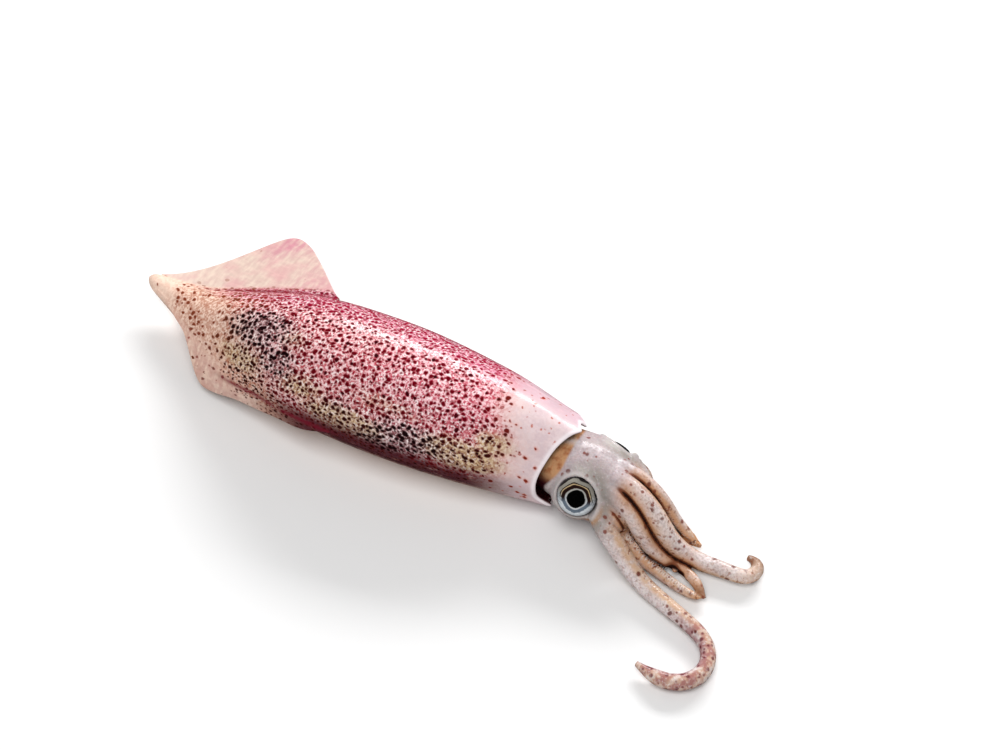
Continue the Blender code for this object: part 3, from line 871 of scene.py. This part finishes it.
# the eyeball's rings as (radius, height over the ball's middle), from its front to its back
EYE_RINGS = ((1.0, 6.55), (2.0, 6.45), (2.6, 6.3), (2.9, 6.0), (3.1, 5.95), (3.5, 6.0), (3.8, 5.85),
             (4.2, 5.7), (4.7, 5.7), (5.2, 5.45), (5.7, 5.0), (6.1, 4.3), (6.6, 2.4), (6.9, 0.0),
             (5.2, -4.4), (2.0, -6.4))
SOCKET_EDGE = 6.1
SOCKET_DEPTH = 0.7
SOCKET_LOWEST = 1.5
LID_HEIGHT, LID_WIDTH = 0.6, 0.6


def read_normals(piece):
    flat = np.empty(len(piece.data.vertices) * 3, np.float32)
    piece.data.vertices.foreach_get("normal", flat)
    return flat.reshape(-1, 3).astype(float)


def soften(piece, values, times):
    """Evens out a value per point with those of the points beside it, so many times."""
    ends = np.empty(len(piece.data.edges) * 2, np.int32)
    piece.data.edges.foreach_get("vertices", ends)
    first, second = ends.reshape(-1, 2).T
    count = len(values)
    neighbours = np.bincount(first, minlength=count) + np.bincount(second, minlength=count)
    for _ in range(times):
        total = np.bincount(first, values[second], count) + np.bincount(second, values[first], count)
        values = 0.5 * values + 0.5 * total / neighbours
    return values


def nearest_limbs(places):
    """For each place: its limb, the share of its length, millimetres along and aside, the way the
    limb's outer face looks, and the gaps to the skins of the nearest two limbs."""
    gaps = np.full((2, len(places)), FAR)
    limb_of, part, along_limb, beside = np.zeros((4, len(places)))
    outward = np.zeros((len(places), 3))
    for index, arm in enumerate(ARMS):
        path = np.array(arm_path(arm))
        start, step = path[:-1], np.diff(path, axis=0)
        size = np.linalg.norm(step, axis=1)
        shift = places[:, None, :] - start[None, :, :]
        share = np.clip(np.sum(shift * step, 2) / size ** 2, 0, 1)
        away = np.linalg.norm(shift - share[:, :, None] * step, axis=2)
        closest = away.argmin(1)
        rows = np.arange(len(places))
        reached = (closest + share[rows, closest]) * size[0]
        round_crown = radians(arm.crown + HEAD_ROLL)
        heading = np.arctan2(step[closest, 1], step[closest, 0])
        level = np.stack([np.sin(heading), -np.cos(heading), 0 * heading], 1)
        out = level * sin(round_crown) + np.array([0, 0, cos(round_crown)])
        across = level * cos(round_crown) - np.array([0, 0, sin(round_crown)])
        part_here = reached / arm.length
        radius = np.array([arm_radius(arm, value) for value in np.linspace(0, 1, 101)])
        gap = away[rows, closest] - radius[np.round(part_here * 100).astype(int)]
        nearer = gap < gaps[0]
        gaps[1] = np.where(nearer, gaps[0], np.minimum(gaps[1], gap))
        gaps[0] = np.where(nearer, gap, gaps[0])
        middle_here = start[closest] + share[rows, closest][:, None] * step[closest]
        limb_of[nearer], part[nearer], along_limb[nearer] = index, part_here[nearer], reached[nearer]
        beside[nearer] = np.sum((places - middle_here) * across, 1)[nearer]
        outward[nearer] = out[nearer]
    return limb_of.astype(int), part, along_limb, beside, outward, gaps


places = read_places(head)
limb_of, part, along_limb, beside, outward, gaps = nearest_limbs(places)
between = gaps[1] - gaps[0]
touching = ease(*CREASE_STARTS, places[:, 0]) * (gaps[0] < CREASE_GAP)
crease = np.exp(-(between / CREASE_WIDTH) ** 2) * touching * (1 - ease(*CREASE_ENDS, part))
hollow = np.exp(-(between / HOLLOW_WIDTH) ** 2) * touching
places -= CREASE_DEPTH * soften(head, crease, 4)[:, None] * read_normals(head)
from_eye = np.full(len(places), FAR)
over_eye, ahead_of_eye = np.zeros((2, len(places)))
ball_front = sorted(EYE_RINGS[:-2])
for eye in EYES:
    facing = np.array(eye_facing(eye))
    away = places - np.array(eye.centre)
    height = away @ facing
    flat_away = away - height[:, None] * facing
    radius = np.linalg.norm(flat_away, axis=1)
    radius = np.where(height > SOCKET_LOWEST, radius, FAR)
    sunk = along(ball_front, radius) - SOCKET_DEPTH
    change = (np.minimum(sunk, height) - height) * ease(SOCKET_EDGE + 0.5, SOCKET_EDGE, radius)
    change += LID_HEIGHT * np.exp(-((radius - SOCKET_EDGE - 0.7) / LID_WIDTH) ** 2)
    places += change[:, None] * facing
    nearer = radius < from_eye
    toward = flat_away / np.maximum(radius, 0.1)[:, None]
    over_eye = np.where(nearer, toward[:, 2], over_eye)
    ahead_of_eye = np.where(nearer, toward[:, 0], ahead_of_eye)
    from_eye = np.minimum(from_eye, radius)
write_places(head, places)


# Head and arm skin: pale, wet and greyish pink, with fewer and browner spots than the mantle. It
# is tan on the flanks of the arms, greenish round the eyes, and has painted shade dark brown down in the
# creases.
NECK_END, NECK_SLANT = 146.8, 4.4
RIDGE_SIDE, RIDGE_WIDTH = 3.2, 1.3
on_limb = ease(168, 176, places[:, 0])
faces_out = np.sum(outward * read_normals(head), 1)
is_tentacle = np.array([arm.name.startswith("tentacle") for arm in ARMS])[limb_of]
is_upper_right = np.array([arm.name in ("arm_1_right", "arm_2_right") for arm in ARMS])[limb_of]
flank = np.maximum(ease(0.8, 0.1, faces_out), ease(0.7, 1.0, part) * ~is_tentacle)
past_neck = places[:, 0] - NECK_END - NECK_SLANT * ease(12, 23, places[:, 2])
from_ridge = (places[:, 1] - RIDGE_SIDE) / RIDGE_WIDTH
amounts = {
    "crease": soften(head, crease, 1),
    "hollow": hollow,
    "flank": flank * on_limb,
    "club": ease(0.42, 0.6, part) * is_tentacle,
    "limb": on_limb,
    "green": np.exp(-((from_eye - 9.0) / 3.0) ** 2) * (1 - on_limb) * ease(-0.6, 0.4, ahead_of_eye),
    "lid": np.exp(-((from_eye - SOCKET_EDGE - 0.9) / 0.7) ** 2),
    "lid_top": np.exp(-((from_eye - SOCKET_EDGE - 2.4) / 1.2) ** 2) * ease(0.7, 0.97, over_eye),
    "lid_fold": np.exp(-((from_eye - SOCKET_EDGE - 1.9) / 0.9) ** 2) * ease(0.2, -0.4, over_eye)
                * ease(-0.2, 0.5, ahead_of_eye),
    "socket": ease(SOCKET_EDGE + 0.35, SOCKET_EDGE - 0.1, from_eye),
    "head_start": 0.5 + past_neck / 8,
    "high": ease(14, 19.5, places[:, 2]),
    "low": ease(11, 4, places[:, 2]) * (1 - on_limb),
    "inner": ease(0.15, -0.5, faces_out) * on_limb * (1 - 0.7 * is_tentacle),
    "brown_tip": ease(0.86, 0.97, part) * is_upper_right,
    # a painted highlight along the ridge over the head
    "ridge": np.exp(-from_ridge ** 2) * ease(19, 22, places[:, 2]) * (1 - on_limb),
}
paint_on(head, {name: np.clip(amount, 0, 1) for name, amount in amounts.items()})
keep_place(head, "inner_place", along_limb, beside)

material, skin = new_skin("head_skin")
place = skin.node("TexCoord", out="Object")
crease, hollow, flank, club, limb, green, lid, lid_top, lid_fold, socket, head_start, high, low, inner, \
    brown_tip, ridge = read_amounts(skin, amounts)
broad = grain(place, 9, 3.0)
mottle = grain(place, 2.6, 3.0)
fine = grain(place, 0.7, 3.0)
dots, _ = spots(stray(place, 2.4, 0.8), 3.4, 0.7, 1.6, mottle * 0.3 + 0.36, flat=False)
few, _ = spots(stray(place, 2.0, 0.6), 1.9, 0.5, 1.2, club * 0.7 + limb * 0.12 + 0.2, flat=False)
# painted shade on the neck where it runs in under the mantle's rim: tan at the top, dark maroon lower down
neck_shade = 1 - ((mottle - 0.5) * 0.05 + head_start).between(0.43, 0.57)
smudge = grain(place, 1.5, 2.0, 0.6).between(0.57, 0.66) * (limb * 0.45 + flank * 0.4) * (1 - club)
few_colour = club.tint((124, 58, 44), (104, 34, 44))
tan = mottle.between(0.3, 0.6).tint((164, 104, 68), (200, 150, 108))
cups = cells(read_place(skin, "inner_place"), 1.5, spread=0.25)
cup_ring = cups.between(0.18, 0.28) * (1 - cups.between(0.34, 0.46)) * inner
colour = coats(
    broad.between(0.35, 0.65).tint((195, 181, 178), (212, 200, 200)),
    (limb * 0.9, broad.between(0.3, 0.6).tint((216, 200, 196), (230, 218, 216))),
    (mottle.between(0.5, 0.7) * 0.5, (216, 186, 182)),
    (mottle.between(0.48, 0.32) * (1 - limb * 0.7) * 0.5, (158, 142, 142)),
    (fine.between(0.52, 0.4) * 0.35, (152, 132, 130)),
    # painted shade low on the head, towards the ground
    (low * 0.5, (140, 114, 112)),
    # darker over the top of the head: painted shade that tones down the lamps' light there
    (high * (1 - limb) * 0.5, (168, 152, 158)),
    (green * mottle.between(0.25, 0.5) * 0.8, (144, 138, 130)),
    (lid_top * 0.8, (208, 208, 198)),
    (lid_fold * 0.85, (176, 132, 96)),
    (flank * mottle.between(0.25, 0.5) * 0.75, (204, 160, 116)),
    (inner * 0.8, (218, 198, 186)),
    (club * mottle.between(0.35, 0.6) * 0.8, (158, 96, 98)),
    # painted shade: tan warming towards the creases between the limbs
    (hollow * mottle.between(0.15, 0.45) * 0.9, (198, 142, 96)),
    (brown_tip * 0.75, (120, 78, 58)),
    # pale specks, partly on the skin and partly painted highlights on tiny bumps
    (fine.between(0.58, 0.72) * (1 - hollow) * (limb * 0.25 + 0.2), (242, 236, 238)),
    (smudge, (146, 92, 66)),
    (few.between(-0.15, 0.08) * (1 - socket) * 0.85, few_colour),
    (dots.between(-0.1, 0.05) * (1 - socket) * 0.85, (104, 46, 34)),
    # painted shade down in the creases: dark brown, then near black at the deepest
    (crease.between(0.14, 0.5) * 0.9, (112, 54, 28)),
    (crease.between(0.52, 0.8) * 0.96, (28, 9, 8)),
    # painted shade on the neck under the rim
    (neck_shade, high.tint((58, 14, 22), tan)),
    # painted highlight along the ridge over the head
    (ridge * mottle.between(0.4, 0.6) * 0.5, (232, 226, 230)),
    (lid * 0.7, (196, 190, 188)),
    # painted shadow where the skin sinks in round the eyeball
    (socket, (20, 12, 12)),
    (cup_ring * 0.5, (246, 238, 232)),
    ((1 - cups.between(0.08, 0.2)) * inner * 0.6, (150, 112, 100)))
relief = grain(place, 1.4, 4.0) * 0.7 + fine * 0.3 + cup_ring * 0.6
bump = skin.node("Bump", {}, {"Height": relief, "Strength": 0.7, "Distance": 0.4 * MM}, out="Normal")
wet = (mottle * 0.75 + fine * 0.25).between(0.46, 0.56) * (limb * 0.35 + 0.45) * (1 - crease)
finish_skin(material, Base_Color=colour, Roughness=mottle * 0.2 + 0.36, Normal=bump, Coat_Weight=wet,
            Coat_Roughness=0.16, Coat_IOR=1.4, Specular_IOR_Level=0.1,
            Subsurface_Weight=0.05, Subsurface_Scale=0.001)
head.data.materials.append(material)
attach(head, "root")
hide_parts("head")


# Eyes: a silvery ball at each side of the head, with a wide black pupil in a pale ring, under
# a clear wet cover. Each is turned out of one disc, ring by ring.
EYE_AROUND = 64
BEHIND = 7.0                # the reach given to all of the ball's hidden back
material, skin = new_skin("eye")
place = skin.node("TexCoord", out="Object")
reach, above = read_amounts(skin, ("reach", "above"))
streak = grain(place, 0.8, 3.0, 0.4)
wander = (streak - 0.5) * 0.3 + (grain(place, 3.4, 0.0) - 0.5) * 0.9 + reach


def ring(start, end, soft=0.06):
    """A band of the iris between two distances from its middle, in millimetres."""
    return wander.between(start - soft, start + soft) * (1 - wander.between(end - soft, end + soft))


below = 1 - above
colour = coats(
    streak.between(0.35, 0.65).tint((112, 120, 130), (202, 208, 214)),
    (above.between(0.35, 0.75), (146, 142, 132)),
    (ring(3.3, 4.3), above.between(0.25, 0.5).tint((104, 116, 130), (38, 20, 16))),
    (ring(4.25, 4.55) * above.between(0.4, 0.75) * 0.8, (206, 178, 130)),
    (ring(4.55, 4.85) * above.between(0.3, 0.55), (36, 22, 18)),
    (ring(4.4, 5.6) * below.between(0.45, 0.9) * 0.75, (216, 222, 226)),
    # the pale ring round the pupil, brightest below: partly the iris and partly a painted glint
    (ring(2.8, 3.15, 0.1) * (below.between(0.3, 0.9) * 0.65 + 0.35), (210, 212, 214)),
    # painted shadow at the ball's edge, under the lid
    (wander.between(5.7, 5.85), (24, 16, 16)),
    (1 - wander.between(2.68, 2.86), (4, 4, 5)))
bump = skin.node("Bump", {}, {"Height": streak, "Strength": 0.15, "Distance": 0.2 * MM}, out="Normal")
finish_skin(material, Base_Color=colour, Roughness=streak * 0.2 + 0.2, Normal=bump,
            Coat_Weight=1.0, Coat_Roughness=0.03, Coat_IOR=1.38, Specular_IOR_Level=0.4)

for eye in EYES:
    radius, height = EYE_RINGS[0]
    here = Vector((0, 0, height * MM))
    ball = start_tube(eye.name + "_ball", EYE_AROUND, radius, here, turned=(0, 0, 0))
    for next_radius, height in EYE_RINGS[1:]:
        there = Vector((0, 0, height * MM))
        growth = next_radius / radius
        next_ring(here, there, (growth, growth, 1))
        radius, here = next_radius, there
    close_end()
    close_mesh()
    apply_modifier(ball, "SUBSURF", levels=1, render_levels=1)
    x, y, z = (read_places(ball) + np.array(TAIL)).T
    distance = np.where(z > 0, np.hypot(x, y), BEHIND)
    stand_up = eye_facing(eye).to_track_quat("Z", "Y").to_matrix()
    upward = np.array(stand_up.inverted() @ Vector((0, 0, 1)))
    upward /= np.hypot(upward[0], upward[1])
    lift = (x * upward[0] + y * upward[1]) / np.maximum(distance, 0.1)
    paint_on(ball, {"reach": distance, "above": 0.5 + 0.5 * lift})
    ball.data.transform(Matrix.Translation(at(*eye.centre)) @ stand_up.to_4x4())
    ball.data.shade_smooth()
    ball.data.materials.append(material)
    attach(ball, "root")
    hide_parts(eye.name)


# Floor and light: a white table and a wide, soft window light from behind the squid's left
# side, with a large lamp overhead.
bpy.ops.mesh.primitive_plane_add(size=8.0, location=(0, 0, -0.0001))
floor = bpy.context.object
floor.name = "floor"
paper, _ = new_skin("floor")
finish_skin(paper, Base_Color=(0.88, 0.88, 0.88, 1.0), Roughness=0.7)
floor.data.materials.append(paper)
floor.visible_glossy = False

Lamp = namedtuple("Lamp", "name place size power")
LAMPS = (Lamp("window", (-0.15, 0.95, 0.60), (1.0, 0.28), 12.5),
         Lamp("overhead", (0.1, -0.5, 1.5), (0.9, 0.9), 14.0))
for lamp in LAMPS:
    bpy.ops.object.light_add(type="AREA", location=lamp.place)
    light = bpy.context.object
    light.name = lamp.name
    light.data.shape = "RECTANGLE"
    light.data.size, light.data.size_y = lamp.size
    light.data.energy = lamp.power
    light.visible_glossy = lamp.name == "window"
    light.rotation_euler = Vector(lamp.place).to_track_quat("Z", "Y").to_euler()
world = bpy.data.worlds.new("studio")
bpy.context.scene.world = world
world.use_nodes = True
background = world.node_tree.nodes["Background"].inputs
background["Color"].default_value = (1, 1, 1, 1)
background["Strength"].default_value = 0.37
world.cycles_visibility.glossy = False
bpy.context.scene.view_settings.view_transform = "Standard"
